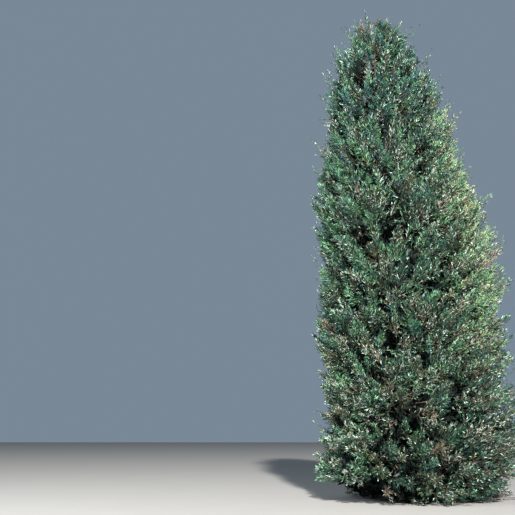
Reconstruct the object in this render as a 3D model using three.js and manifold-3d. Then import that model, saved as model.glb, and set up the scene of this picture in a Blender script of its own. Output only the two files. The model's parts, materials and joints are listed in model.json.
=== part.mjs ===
import * as THREE from 'three';
import { mergeVertices } from 'three/addons/utils/BufferGeometryUtils.js';
import Module from 'manifold-3d';

// Eastern red cedar, 12 m tall, in millimetres with +Z up.
// The origin is the centre of the flat cut under the trunk, at ground level.
// +X is the broad flank and -X the narrow one, and -Y is the front.
// Everything is shaped round an upright axis, and one shear at the end gives the whole tree its lean.

// Whole tree
const HEIGHT = 12000;
const LEAN = -160 / HEIGHT; // the tip stands 160 mm towards -X
const SEAT = 0.3; // gap between a limb and what carries it

// Crown outline: reach from the axis, how the profile closes towards the top, and its bays:
// the share by which it swells and sinks, their spacing, and the height of one crest
const BROAD = { reach: 3180, power: 2.2, roundness: 0.8, bay: 0.05, spacing: 4400, crest: 5300 };
const NARROW = { reach: 1620, power: 5.8, roundness: 0.9, bay: 0.07, spacing: 3200, crest: 550 };
const DEEP = { reach: 2360, power: 3, roundness: 0.8, bay: 0.04, spacing: 3900, crest: 2500 };
const CLOSING_HEIGHT = 12300; // where the four profiles would meet
const SKIRT_HEIGHT = 850; // below this the crown draws in towards the ground
const SKIRT_DRAW = 0.3;
const SHOOT_SLACK = 230; // how far a thin shoot may pass the outline

// Gap under the crown: the skirt rests on the ground except over a hollow on the narrow front side
const GROUND_GAP = 25;
const HOLLOW = { height: 400, middle: 200, halfWidth: 56, edge: 8 }; // azimuths in degrees

// Trunk
const TRUNK_TOP = 11620;
const TRUNK_RADIUS = 150; // below the lowest bough, without the flare
const TRUNK_TIP_RADIUS = 7;
const TRUNK_TAPER = 1.05;
const FLARE = { width: 62, height: 230, lobes: 5, depth: 0.38 };
const TRUNK_SIDES = 15;
const TRUNK_RINGS = 10;

// Tiers: each starts on a cone that rises from the trunk at this height with this slope,
// and its plumes turn upwards by the last number
const TIERS = [
  { base: 0, slope: 0, masses: 5, turn: 18, boughRadius: 52, upturn: 0.1 },
  { base: 840, slope: 0.45, masses: 5, turn: 54, boughRadius: 50, upturn: 0.1 },
  { base: 1920, slope: 0.62, masses: 5, turn: 12, boughRadius: 47, upturn: 0.1 },
  { base: 3150, slope: 0.75, masses: 5, turn: 48, boughRadius: 43, upturn: 0.12 },
  { base: 4400, slope: 0.85, masses: 5, turn: 20, boughRadius: 38, upturn: 0.15 },
  { base: 5750, slope: 0.95, masses: 4, turn: 68, stemRadius: 30, upturn: 0.25 },
  { base: 7320, slope: 1.05, masses: 3, turn: 25, stemRadius: 24, upturn: 0.4 },
  { base: 8900, slope: 1.2, masses: 2, turn: 80, stemRadius: 16, upturn: 1.5 },
];
const CELL_MARGIN = 32; // clear strip along the inside of every cell wall
const SETTLING_PASSES = 24; // a point's height and reach depend on each other, and settle in turns

// Boughs and the stems of the masses, by share of the crown's reach
const BOUGH_SHARE = 0.36;
const BOUGH_SINK = 0.3; // how far the foot sits below the tier's middle, as a share of the tier
const BOUGH_TAPER = 0.55;
const FORK_SHARE = 0.67;
const STEM_TAPER = 0.6;
const LIMB_SIDES = 5;
const BOUGH_STEPS = 2;

// Twigs of a mass: two rows, and three at the top, that each turn into a plume at a share of the reach
const ROWS = [
  { count: 3, up: 0.28, end: 0.64, leave: 0.88, shoots: 0 },
  { count: 4, up: 0.7, end: 0.64, leave: 1, shoots: 0.3 },
];
const TOP_ROWS = [
  { count: 4, up: 0.1, end: 0.6, leave: 0.7, shoots: 0 },
  { count: 3, up: 0.44, end: 0.48, leave: 0.9, shoots: 0.4 },
  { count: 2, up: 0.8, end: 0.36, leave: 1, shoots: 1 },
];
const TWIG_RADIUS = 17;
const TWIG_TIP_RADIUS = 9;
const SPREAD = 0.92; // share of the sector that a row of twigs fills
const JITTER = { across: 0.06, up: 0.05, end: 0.03, upturn: 0.12 };

// Core of a mass, in shares of its cell and of the reach
const CORE = { width: 0.94, height: 0.9, inner: 0.54, outer: 0.7, tilt: 0.04, square: 0.55, rough: 0.1 };
const TOP_CORE = { ...CORE, height: 0.72, inner: 0.12, outer: 0.5 };

const CORE_SEED = 500;
const CORE_SIDES = 8;
const CORE_RINGS = 4;

// Plume: a toothed spindle that stands for a spray of twiglets, its lengths in shares of the reach
const PLUME = { share: 0.38, extra: 260, width: 0.5, sink: 0.12 };
const PLUME_SIDES = 5;
const PLUME_TEETH = [
  { at: 0.36, out: 1 },
  { at: 0.25, out: 0.6 },
];
const PLUME_TIP_TEETH = [
  { at: 0.6, out: 0.42 },
  { at: 0.71, out: 0.68 },
];

// Shoot: a thin toothed blade that passes the crown's outline
const SHOOT = { share: 0.26, extra: 330, width: 0.17, thickness: 0.09, sink: 0.1 };
const SHOOT_ROOT = 0.25; // how far along its plume a shoot starts
const SHOOT_RISE = [0.3, 1.2];
const SHOOT_FIRST_TIER = 3;
const SHRINK = [1, 0.88, 0.76, 0.64, 0.52]; // sizes tried before a spray is skipped

const BARK_COLOUR = 0x6f5444;
const BARK_ROUGHNESS = 0.9;
const FOLIAGE_ROUGHNESS = 0.8;
const GREENS = [0x3c5239, 0x465c3b, 0x55693f];

const UP = new THREE.Vector3(0, 0, 1);
const TURN = 2 * Math.PI;
const wasm = await Module();
wasm.setup();

// A small seeded generator of its own for each mass
function random(seed) {
  let state = (seed * 747796405 + 2891336453) % 4294967296;
  return (low, high) => {
    state = (state * 1664525 + 1013904223) % 4294967296;
    return low + ((high - low) * state) / 4294967296;
  };
}

function closing(side, z) {
  const t = Math.min(Math.max(z / CLOSING_HEIGHT, 0), 1);
  const swell = 1 + side.bay * Math.cos((TURN * (z - side.crest)) / side.spacing);
  return side.reach * swell * (1 - t ** side.power) ** side.roundness;
}

// Reach of the crown from its axis: an oval in plan whose four reaches close towards the top
function reach(azimuth, z) {
  const flank = closing(Math.cos(azimuth) > 0 ? BROAD : NARROW, z);
  const depth = closing(DEEP, z);
  const oval = 1 / Math.hypot(Math.cos(azimuth) / (flank + 1), Math.sin(azimuth) / (depth + 1));
  const draw = Math.max(0, 1 - z / SKIRT_HEIGHT);
  return oval * (1 - SKIRT_DRAW * draw * draw);
}

function angleBetween(a, b) {
  const turn = (((a - b) % TURN) + TURN) % TURN;
  return turn > Math.PI ? turn - TURN : turn;
}

// Height of the crown's underside: near the ground, and higher over the hollow
function underside(azimuth) {
  const off = Math.abs(angleBetween(azimuth, THREE.MathUtils.degToRad(HOLLOW.middle)));
  const inside = HOLLOW.halfWidth - THREE.MathUtils.radToDeg(off);
  const share = THREE.MathUtils.smoothstep(inside, -HOLLOW.edge, HOLLOW.edge);
  return GROUND_GAP + share * HOLLOW.height;
}

// A cell is the space of one mass: a sector between its tier's cone and the next one
function makeCell(tier, index) {
  const { base, slope, masses, turn } = TIERS[tier];
  const next = TIERS[tier + 1];
  return {
    tier,
    mid: THREE.MathUtils.degToRad(turn) + (TURN * index) / masses,
    half: Math.PI / masses,
    lower: (azimuth, r) => (tier === 0 ? underside(azimuth) : base + slope * r),
    upper: (azimuth, r) => (next ? next.base + next.slope * r : HEIGHT + CELL_MARGIN),
  };
}

// Point of a cell: across the sector (-1 to 1), up the tier (0 to 1), and out by share of the reach
function place(cell, across, up, share) {
  const azimuth = cell.mid + across * cell.half;
  let z = (TIERS[cell.tier].base + HEIGHT * share) / 2;
  let r = 0;
  for (let pass = 0; pass < SETTLING_PASSES; pass += 1) {
    r = share * reach(azimuth, z);
    const low = cell.lower(azimuth, r);
    z = (z + low + up * (cell.upper(azimuth, r) - low)) / 2;
  }
  return new THREE.Vector3(r * Math.cos(azimuth), r * Math.sin(azimuth), z);
}

function inCell(cell, point, slack) {
  const azimuth = Math.atan2(point.y, point.x);
  const r = Math.hypot(point.x, point.y);
  const inside = Math.min(cell.half - Math.abs(angleBetween(azimuth, cell.mid)), Math.PI / 2);
  return (
    r * Math.sin(inside) > CELL_MARGIN &&
    point.z > cell.lower(azimuth, r) + (cell.tier === 0 ? 0 : CELL_MARGIN) &&
    point.z < cell.upper(azimuth, r) - CELL_MARGIN &&
    r < reach(azimuth, point.z) + slack &&
    r > trunkRadius(point.z) + CELL_MARGIN
  );
}

function trunkRadius(z) {
  const t = Math.min(z / TRUNK_TOP, 1);
  return TRUNK_TIP_RADIUS + (TRUNK_RADIUS - TRUNK_TIP_RADIUS) * (1 - t) ** TRUNK_TAPER;
}

function solidOf(geometry) {
  const bare = geometry.clone();
  bare.deleteAttribute('normal');
  bare.deleteAttribute('uv');
  const merged = mergeVertices(bare, 1e-3);
  return new wasm.Manifold(
    new wasm.Mesh({
      numProp: 3,
      vertProperties: new Float32Array(merged.attributes.position.array),
      triVerts: new Uint32Array(merged.index.array),
    }),
  );
}

function geometryOf(solid) {
  const { vertProperties, triVerts } = solid.getMesh();
  const geometry = new THREE.BufferGeometry();
  geometry.setAttribute('position', new THREE.BufferAttribute(vertProperties, 3));
  geometry.setIndex(new THREE.BufferAttribute(triVerts, 1));
  return geometry;
}

function warp(geometry, move) {
  const { position } = geometry.attributes;
  const point = new THREE.Vector3();
  for (let i = 0; i < position.count; i += 1) {
    move(point.fromBufferAttribute(position, i));
    position.setXYZ(i, point.x, point.y, point.z);
  }
  return geometry;
}

// Tapering limb: a cylinder whose rings are carried along a curve
function limb(curve, startRadius, endRadius, sides, steps) {
  const tube = new THREE.CylinderGeometry(1, 1, 1, sides, steps).rotateX(Math.PI / 2);
  const turn = new THREE.Quaternion();
  return warp(tube, (point) => {
    const t = point.z + 0.5;
    const radius = THREE.MathUtils.lerp(startRadius, endRadius, t);
    turn.setFromUnitVectors(UP, curve.getTangent(t));
    point.set(point.x * radius, point.y * radius, 0).applyQuaternion(turn).add(curve.getPoint(t));
  });
}

function straightLimb(from, to, startRadius, endRadius, sides) {
  return limb(new THREE.LineCurve3(from, to), startRadius, endRadius, sides, 1);
}

// Trunk: a lathe profile from the flat cut to the tip, its foot spread into lobes
function trunkGeometry(extra) {
  const profile = [new THREE.Vector2(0, 0)];
  for (let ring = 0; ring < TRUNK_RINGS; ring += 1) {
    const z = TRUNK_TOP * (ring / TRUNK_RINGS) ** 1.5;
    const flare = FLARE.width * Math.exp(-z / FLARE.height);
    profile.push(new THREE.Vector2(trunkRadius(z) + flare + extra, z));
  }
  profile.push(new THREE.Vector2(TRUNK_TIP_RADIUS + extra, TRUNK_TOP), new THREE.Vector2(0, TRUNK_TOP));
  const lathe = new THREE.LatheGeometry(profile, TRUNK_SIDES).rotateX(Math.PI / 2);
  return warp(lathe, (point) => {
    const wave = Math.cos(FLARE.lobes * Math.atan2(point.y, point.x));
    const lobe = FLARE.depth * Math.exp(-point.z / FLARE.height) * wave;
    point.x *= 1 + lobe;
    point.y *= 1 + lobe;
  });
}

// Stem line of a mass: from its bough's tip, or from the trunk's axis, to the fork inside the mass
function stemLine(cell) {
  const fork = place(cell, 0, 0.5, FORK_SHARE);
  const onBough = TIERS[cell.tier].boughRadius !== undefined;
  const foot = place(cell, 0, 0.5, BOUGH_SHARE);
  if (!onBough) {
    foot.set(0, 0, TIERS[cell.tier].base + BOUGH_SINK * (fork.z - TIERS[cell.tier].base));
  }
  return { foot, fork, direction: fork.clone().sub(foot).normalize() };
}

function boughSolid(cell, trunk) {
  const { foot, direction } = stemLine(cell);
  const { base, boughRadius } = TIERS[cell.tier];
  const start = new THREE.Vector3(0, 0, base + BOUGH_SINK * (TIERS[cell.tier + 1].base - base));
  const bend = foot.clone().addScaledVector(direction, -0.5 * foot.distanceTo(start));
  const curve = new THREE.QuadraticBezierCurve3(start, bend, foot);
  const bough = limb(curve, boughRadius, boughRadius * BOUGH_TAPER, LIMB_SIDES, BOUGH_STEPS);
  return solidOf(bough).subtract(trunk);
}

// Plume along +Z from its root: both rings of a coarse ball drawn into alternate teeth
function plumeGeometry(length) {
  const radius = (length * PLUME.width) / 2;
  return warp(new THREE.SphereGeometry(1, PLUME_SIDES, 3, Math.PI).rotateX(Math.PI / 2), (point) => {
    const azimuth = Math.atan2(point.y, point.x);
    const number = Math.round((azimuth * PLUME_SIDES) / TURN) & 1;
    if (Math.hypot(point.x, point.y) < 0.1) {
      point.set(0, 0, point.z > 0 ? length : 0);
    } else {
      const { at, out } = (point.z < 0 ? PLUME_TEETH : PLUME_TIP_TEETH)[number];
      point.set(radius * out * Math.cos(azimuth), radius * out * Math.sin(azimuth), at * length);
    }
  });
}

// Half outline of a shoot's blade, as shares of its length and half width
const BLADE_TEETH = [
  [0.45, 1],
  [0.56, 0.45],
];
const RIDGE_AT = 0.42;

// Blade along +Z: its outline runs root, teeth, tip, teeth, and a ridge point lies on each face
function bladeGeometry(length) {
  const half = (length * SHOOT.width) / 2;
  const ridge = (length * SHOOT.thickness) / 2;
  const points = [
    [0, 0, 0],
    ...BLADE_TEETH.map(([at, out]) => [out * half, 0, at * length]),
    [0, 0, length],
    ...BLADE_TEETH.toReversed().map(([at, out]) => [-out * half, 0, at * length]),
  ];
  const rim = points.length;
  points.push([0, ridge, RIDGE_AT * length], [0, -ridge, RIDGE_AT * length]);
  const faces = [];
  for (let i = 0; i < rim; i += 1) {
    const next = (i + 1) % rim;
    faces.push(next, i, rim, i, next, rim + 1);
  }
  const geometry = new THREE.BufferGeometry();
  geometry.setAttribute('position', new THREE.Float32BufferAttribute(points.flat(), 3));
  geometry.setIndex(faces);
  return geometry;
}

// A spray of the largest size that fits its cell, or nothing
function fittedSpray(cell, spray) {
  const shape = spray.kind === SHOOT ? bladeGeometry : plumeGeometry;
  const slack = spray.kind === SHOOT ? SHOOT_SLACK : 0;
  const turn = new THREE.Quaternion().setFromUnitVectors(UP, spray.direction);
  for (const size of SHRINK) {
    const length = spray.length * size;
    const root = spray.root.clone().addScaledVector(spray.direction, -spray.kind.sink * length);
    const geometry = shape(length).rotateZ(spray.roll).applyQuaternion(turn).translate(...root);
    const { position } = geometry.attributes;
    const corners = Array.from({ length: position.count }, (_, i) =>
      new THREE.Vector3().fromBufferAttribute(position, i),
    );
    if (corners.every((corner) => inCell(cell, corner, slack))) {
      return geometry;
    }
  }
  return null;
}

// The growth rule of one mass: where its twigs run, and the plumes and shoots that they end in
function growth(cell, seed) {
  const draw = random(seed);
  const { foot, fork } = stemLine(cell);
  const { upturn } = TIERS[cell.tier];
  const rows = cell.tier === TIERS.length - 1 ? TOP_ROWS : ROWS;
  const twigs = [];
  for (const row of rows) {
    for (let i = 0; i < row.count; i += 1) {
      const across = ((2 * i + 1) / row.count - 1) * SPREAD + draw(-JITTER.across, JITTER.across);
      const up = row.up + draw(-JITTER.up, JITTER.up);
      const share = row.end + draw(-JITTER.end, JITTER.end);
      const from = foot.clone().lerp(fork, row.leave);
      const to = place(cell, across, up, share);
      const ahead = place(cell, across, up, share + 0.2).sub(to).normalize();
      const local = reach(Math.atan2(to.y, to.x), to.z);
      const turned = (rise) => ahead.clone().addScaledVector(UP, rise).normalize();
      const plume = {
        kind: PLUME,
        root: to,
        direction: turned(upturn + draw(-JITTER.upturn, JITTER.upturn)),
        length: PLUME.share * local + PLUME.extra,
        roll: draw(0, TURN),
      };
      const shoot = {
        kind: SHOOT,
        root: to.clone().addScaledVector(ahead, SHOOT_ROOT * plume.length),
        direction: turned(2 * upturn + draw(...SHOOT_RISE)),
        length: SHOOT.share * local + SHOOT.extra,
        roll: draw(0, TURN),
      };
      const shoots = draw(0, 1) < row.shoots && cell.tier >= SHOOT_FIRST_TIER;
      twigs.push({ from, to, sprays: shoots ? [plume, shoot] : [plume] });
    }
  }
  return twigs;
}

// Core: a ball bent into the cell as a slab under the crown's surface, squared and roughened
function coreSolid(cell, seed) {
  const draw = random(seed + CORE_SEED);
  const core = cell.tier === TIERS.length - 1 ? TOP_CORE : CORE;
  const ball = new THREE.SphereGeometry(1, CORE_SIDES, CORE_RINGS);
  ball.deleteAttribute('normal');
  ball.deleteAttribute('uv');
  const slab = warp(mergeVertices(ball, 1e-3), (point) => {
    const square = (value) => Math.sign(value) * Math.abs(value) ** core.square;
    const grown = 1 - draw(0, core.rough);
    const across = square(point.y) * core.width * grown;
    const up = 0.5 + (square(point.z) * core.height * grown) / 2;
    const depth = THREE.MathUtils.lerp(core.inner, core.outer, (point.x * grown + 1) / 2);
    point.copy(place(cell, across, up, depth + core.tilt * point.z));
  });
  return solidOf(slab);
}

// Foliage mass: stem, twigs, core and sprays fused, cut clear of the trunk and rid of loose scraps
function massSolid(cell, seed, trunk) {
  const { foot, fork, direction } = stemLine(cell);
  const { boughRadius, stemRadius } = TIERS[cell.tier];
  const radius = boughRadius ? boughRadius * BOUGH_TAPER : stemRadius;
  const start = boughRadius ? foot.clone().addScaledVector(direction, SEAT) : foot;
  const pieces = [
    solidOf(straightLimb(start, fork, radius, radius * STEM_TAPER, LIMB_SIDES)),
    coreSolid(cell, seed),
  ];
  for (const twig of growth(cell, seed)) {
    pieces.push(solidOf(straightLimb(twig.from, twig.to, TWIG_RADIUS, TWIG_TIP_RADIUS, 3)));
    for (const spray of twig.sprays) {
      const shape = fittedSpray(cell, spray);
      if (shape) {
        pieces.push(solidOf(shape));
      }
    }
  }
  const [whole] = wasm.Manifold.union(pieces)
    .subtract(trunk)
    .decompose()
    .sort((a, b) => b.volume() - a.volume());
  return whole;
}

const lean = new THREE.Matrix4().set(1, 0, LEAN, 0, 0, 1, 0, 0, 0, 0, 1, 0, 0, 0, 0, 1);

function addPiece(group, name, geometry, color, roughness) {
  const material = new THREE.MeshStandardMaterial({ color, roughness, metalness: 0 });
  const piece = new THREE.Mesh(geometry.applyMatrix4(lean), material);
  piece.name = name;
  group.add(piece);
}

const tree = new THREE.Group();
addPiece(tree, 'trunk', geometryOf(solidOf(trunkGeometry(0))), BARK_COLOUR, BARK_ROUGHNESS);
const trunkRoom = solidOf(trunkGeometry(SEAT)); // the trunk and the gap round it
for (let tier = 0; tier < TIERS.length; tier += 1) {
  for (let index = 0; index < TIERS[tier].masses; index += 1) {
    const cell = makeCell(tier, index);
    const label = `${tier + 1}_${index + 1}`;
    if (TIERS[tier].boughRadius) {
      const bough = geometryOf(boughSolid(cell, trunkRoom));
      addPiece(tree, `bough_${label}`, bough, BARK_COLOUR, BARK_ROUGHNESS);
    }
    const green = GREENS[(tier + 2 * index) % GREENS.length];
    const mass = massSolid(cell, 10 * tier + index + 1, trunkRoom);
    addPiece(tree, `foliage_${label}`, geometryOf(mass), green, FOLIAGE_ROUGHNESS);
  }
}

export default tree;
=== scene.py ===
import json
import math
from types import SimpleNamespace

import bpy
import numpy as np
from bpy.props import FloatProperty, FloatVectorProperty, IntProperty, PointerProperty
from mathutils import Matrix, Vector

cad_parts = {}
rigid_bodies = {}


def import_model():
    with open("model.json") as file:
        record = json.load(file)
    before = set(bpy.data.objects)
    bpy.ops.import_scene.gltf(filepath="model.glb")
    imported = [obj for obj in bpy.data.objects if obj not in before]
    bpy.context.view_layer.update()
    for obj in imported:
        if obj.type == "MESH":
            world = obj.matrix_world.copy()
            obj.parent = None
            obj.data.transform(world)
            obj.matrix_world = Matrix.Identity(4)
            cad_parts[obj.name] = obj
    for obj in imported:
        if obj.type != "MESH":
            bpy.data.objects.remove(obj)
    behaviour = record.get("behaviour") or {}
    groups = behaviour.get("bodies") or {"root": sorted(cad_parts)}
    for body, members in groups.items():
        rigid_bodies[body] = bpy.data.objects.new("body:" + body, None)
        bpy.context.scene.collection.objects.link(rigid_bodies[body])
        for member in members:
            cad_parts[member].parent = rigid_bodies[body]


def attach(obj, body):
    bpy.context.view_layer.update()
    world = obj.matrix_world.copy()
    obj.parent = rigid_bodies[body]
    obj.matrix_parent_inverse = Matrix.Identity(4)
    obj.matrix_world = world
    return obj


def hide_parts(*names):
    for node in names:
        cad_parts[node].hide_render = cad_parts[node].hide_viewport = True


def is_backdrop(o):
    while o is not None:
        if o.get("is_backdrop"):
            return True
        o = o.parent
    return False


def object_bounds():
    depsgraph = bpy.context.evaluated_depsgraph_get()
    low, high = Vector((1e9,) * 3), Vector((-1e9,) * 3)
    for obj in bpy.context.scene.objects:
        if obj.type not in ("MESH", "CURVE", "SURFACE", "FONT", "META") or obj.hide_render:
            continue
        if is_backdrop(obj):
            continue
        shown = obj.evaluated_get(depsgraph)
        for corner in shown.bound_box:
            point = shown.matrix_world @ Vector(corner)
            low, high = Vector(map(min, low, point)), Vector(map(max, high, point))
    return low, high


# Eastern red cedar, 12 m tall, in metres with +Z up and the origin at the foot of its trunk.
# +X is the broad flank, -X the narrow one, and -Y the front.
# The crown grows by a seeded rule: stems fork into main twigs, these bear side twigs in a spiral,
# and the side twigs bear sprays of branchlets.

bl_info = {
    "name": "Eastern Red Cedar",
    "version": (1, 0, 0),
    "blender": (4, 5, 0),
    "location": "3D View > Sidebar > Cedar",
    "description": "Builds the bark, twigs and sprays of a cedar round its plain solids",
    "category": "Object",
}

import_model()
CAD_LOW, CAD_HIGH = (list(corner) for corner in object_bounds())

TURN = 2 * math.pi
GOLDEN = math.radians(137.508)
UP = np.array([0.0, 0.0, 1.0])
TINY = 1e-9  # keeps a vector of no length from being divided by nothing
STEEP = 0.9  # rise of a unit vector past which Z is no helper axis for it

# Whole tree
HEIGHT = 12.0
LEAN = -0.16 / HEIGHT  # the tip stands 160 mm towards -X

# Crown outline: reach from the axis, how the profile closes towards the top, and its bays:
# the share by which it swells and sinks, their spacing, and the height of one crest
BROAD = {"reach": 3.18, "power": 2.2, "roundness": 0.8, "bay": 0.05, "spacing": 4.4, "crest": 5.3}
NARROW = {"reach": 1.62, "power": 5.8, "roundness": 0.9, "bay": 0.07, "spacing": 3.2, "crest": 0.55}
DEEP = {"reach": 2.36, "power": 3, "roundness": 0.8, "bay": 0.04, "spacing": 3.9, "crest": 2.5}
CLOSING_HEIGHT = 12.3
SKIRT_HEIGHT = 0.85
SKIRT_DRAW = 0.3

# Gap under the crown: the skirt rests on the ground except over a hollow on the narrow front side,
# whose place round the trunk is in degrees
GROUND_GAP = 0.025
HOLLOW = {"height": 0.4, "middle": 200, "half_width": 56, "edge": 8}

# Trunk
TRUNK_TOP = 11.62
TRUNK_RADIUS = 0.15
TRUNK_TIP_RADIUS = 0.007
TRUNK_TAPER = 1.05
FLARE = {"width": 0.062, "height": 0.23, "lobes": 5, "depth": 0.38}

# Tiers: each starts on a cone that rises from the trunk at this height with this slope, has so many
# masses and is turned by so many degrees. Its boughs have this radius, and its plumes turn up by the last
# number
TIERS = [
    {"base": 0.0, "slope": 0.0, "masses": 5, "turn": 18, "bough_radius": 0.052, "upturn": 0.1},
    {"base": 0.84, "slope": 0.45, "masses": 5, "turn": 54, "bough_radius": 0.05, "upturn": 0.1},
    {"base": 1.92, "slope": 0.62, "masses": 5, "turn": 12, "bough_radius": 0.047, "upturn": 0.1},
    {"base": 3.15, "slope": 0.75, "masses": 5, "turn": 48, "bough_radius": 0.043, "upturn": 0.12},
    {"base": 4.4, "slope": 0.85, "masses": 5, "turn": 20, "bough_radius": 0.038, "upturn": 0.15},
    {"base": 5.75, "slope": 0.95, "masses": 4, "turn": 68, "upturn": 0.25},
    {"base": 7.32, "slope": 1.05, "masses": 3, "turn": 25, "upturn": 0.4},
    {"base": 8.9, "slope": 1.2, "masses": 2, "turn": 80, "upturn": 1.5},
]
CELL_MARGIN = 0.032
SETTLING_PASSES = 24
FACE_SHARE = 0.9  # of the reach, where a mass's face is measured

# Boughs and the stems of the masses, by share of the crown's reach
BOUGH_SHARE = 0.36
BOUGH_SINK = 0.3
BOUGH_TAPER = 0.55
BOUGH_COLLAR = {"swelling": 0.5, "length": 0.16}  # at the trunk, as shares of its radius and length
FORK_SHARE = 0.67

# Bark: strips round the limb and the depth of their relief, which thins out on a slim trunk
TRUNK_BARK = {"depth": 0.006, "strips": 17}
BOUGH_BARK = {"depth": 0.0028, "strips": 7}
FULL_RELIEF_RADIUS = 0.06
TRUNK_GRID = (240, 96)
TRUNK_SPACING = 1.25  # as a power, so that the rings stand closer in the flare
BOUGH_GRID = (32, 24)

# The masses' own generator of draws, and how it takes a seed
DRAW_RANGE = 2**32
DRAW_FACTOR = 1664525
DRAW_STEP = 1013904223
SEED_FACTOR = 747796405
SEED_STEP = 2891336453

# Twigs of a mass in two rows, or three at the top: their number, how far up the tier and out they end,
# where they leave the stem, and the share of them with a shoot
ROWS = [
    {"count": 3, "up": 0.28, "end": 0.64, "leave": 0.88, "shoots": 0},
    {"count": 4, "up": 0.7, "end": 0.64, "leave": 1, "shoots": 0.3},
]
TOP_ROWS = [
    {"count": 4, "up": 0.1, "end": 0.6, "leave": 0.7, "shoots": 0},
    {"count": 3, "up": 0.44, "end": 0.48, "leave": 0.9, "shoots": 0.4},
    {"count": 2, "up": 0.8, "end": 0.36, "leave": 1, "shoots": 1},
]
SPREAD = 0.92  # share of the sector that a row takes
STEP_OUT = 0.2  # the share of the reach over which a twig's way outwards is measured
JITTER = {"across": 0.06, "up": 0.05, "end": 0.03, "upturn": 0.12}
PLUME = {"share": 0.38, "extra": 0.26}  # its length: a share of the reach there and some more
SHOOT = {"share": 0.26, "extra": 0.33}
SHOOT_ROOT = 0.25  # how far along the plume it starts
SHOOT_RISE = (0.3, 1.2)
SHOOT_FIRST_TIER = 3
SHOOT_SLACK = 0.23  # how far past the crown's outline its tip may end
SHRINK = [1, 0.88, 0.76, 0.64, 0.52]  # sizes tried until a plume or a shoot fits

# Offshoots: twigs that repeat the rule at even steps over the face of their mass
OFFSHOOT_DENSITY = 10.5  # for each square metre of the face
OFFSHOOT_SEED = 1000
EVEN_STEPS = (0.7548777, 0.5698403)  # steps across and up that spread points evenly
CROSSING = 0.26  # how far an offshoot may pass the walls between cells
OFFSHOOT_SLACK = (-0.28, 0.1)  # how far past the crown's outline its tip may end
OFFSHOOT_SWING = 0.6  # how far it may turn sideways, as a tangent
OFFSHOOT_LENGTH = (0.6, 0.95)  # shares of a plume's length
OFFSHOOT_LEAVE = (0.3, 0.8)  # shares of the main twig where it leaves
OFFSHOOT_SPAN = 1.02  # half the stretch across a sector that offshoots stand on
OFFSHOOT_UPTURN = 0.4  # share of its mass's upturn
OFFSHOOT_JITTER = {"across": 0.05, "up": 0.02, "end": (-0.1, 0.07), "upturn": 0.2}
OFFSHOOT_END = 0.64  # share of the reach where offshoots bend into their plumes
TOP_END_CHANGE = -0.33  # of this share up the top tier
NEAR_ACROSS = 0.7  # what a step across counts for when the nearest main twig is sought

# Lumps of the foliage: waves round the crown, their slant in radians a metre up, and their start
LUMPS = [(0, 1.26, 0.31), (5, -5.6, 1.1), (8, 4.3, 3.5), (12, -3.1, 3.1)]
LUMP_DEPTH = 0.3
TOP_LUMPS = {"heights": (8.5, 10.5), "deeper": 0.8}  # between these heights they grow by this share
TOP_SHIFT = {"heights": (10.2, 11.4), "by": 0.12}  # the top leans back towards +X by this much
TOP_DROP = {"heights": (10.6, 12.0), "by": 0.17}  # how far the twigs of the top are set down

# Leaders: thin shoots that carry on from the tips of some twigs and fray the outline
LEADER_SHARE = [0.08, 0.08, 0.12, 0.2, 0.3, 0.38, 0.46, 0.5]  # of the twigs, by tier
LEADER = {"length": (0.18, 0.56), "rise": 0.3, "swing": 0.25, "overlap": 0.06}

# Finer growth: how side twigs leave a main twig, and sprays a side twig. Angles are in degrees
SIDE = {"first": 0.38, "last": 0.97, "open": 50, "close": 14, "forward": 0.6, "lift": 0.18}
SHOOT_SIDE = {"first": 0.1, "last": 0.96, "open": 42, "close": 20, "forward": 0.6, "lift": 0.2}
SHOOT_TWIGS = {"count": 6, "width": 0.24}
SPRAY_ANGLES = {"open": 34, "close": 5}
THIN_SPRAYS = {"count": 2, "length": 0.095}  # on the side twigs of shoots
CHANCE = (0.75, 1.2)  # shares of the length that twigs and sprays have by chance
TWIG_REACH = (1.05, 0.9)  # share of the crown's reach where side twigs may end, low down and at the top
TWIG_REACH_HEIGHTS = (9, 11)
SPRAY_VARIANTS = 12
KITE_ANGLES = (18, 36)  # between a branchlet and the spray's axis
KITE_WAIST = 0.42  # where a branchlet is widest
KITE_FOLD = 0.24  # how far it folds along its middle, as a share of its width
MOST_TRIANGLES = 200_000
LIMIT_SHARE = (0.03, 0.03, 0.012)  # how far sprays may pass the box of the plain solids, by its sides
LOWEST = 0.004  # of any point of a spray
TWIG_PIECES = {"low": [0, 1], "middle": [2, 3], "high": [4, 5, 6, 7]}

# Twigs as tubes: points along them, sides, and the radii at the root and the tip
STEM_TUBE = (8, 8, 0.026, 0.015)
MAIN_TUBE = (5, 3, 0.013, 0.002)
SIDE_TUBE = (2, 3, 0.0045, 0.0015)
SHOOT_TUBE = (3, 3, 0.005, 0.0015)
SHOOT_SIDE_TUBE = (2, 3, 0.002, 0.001)

# Filling: coarse dark sprays inside the masses, partly withered growth, their near-black colours painted
# shade.
# They start at these shares of the tier's height and of the reach, squared, and their tips stay within a
# share of the reach, below the top, or near the foot
FILLING_SHARE = [0.18, 0.18, 0.16, 0.14, 0.12, 0.11, 0.08, 0.03]  # of the filling, by tier
FILLING = {"up": (0.02, 0.98), "out": (0.02, 0.62), "outward_rise": 0.2, "rise": 0.5, "swing": 0.5}
FILLING_LOWERED = (0.05, 1)  # shares of their height that the inner ones of the lowest tier keep
FILLING_SPRAY = {"branchlets": 5, "wider": 1.75, "length": (0.7, 1.25)}
FILLING_REACH = 0.8
FILLING_TOP = 11.1
FOOT_SHARE = 0.55  # of the reach, within which these start
FOOT_RADIUS = 0.9
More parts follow.
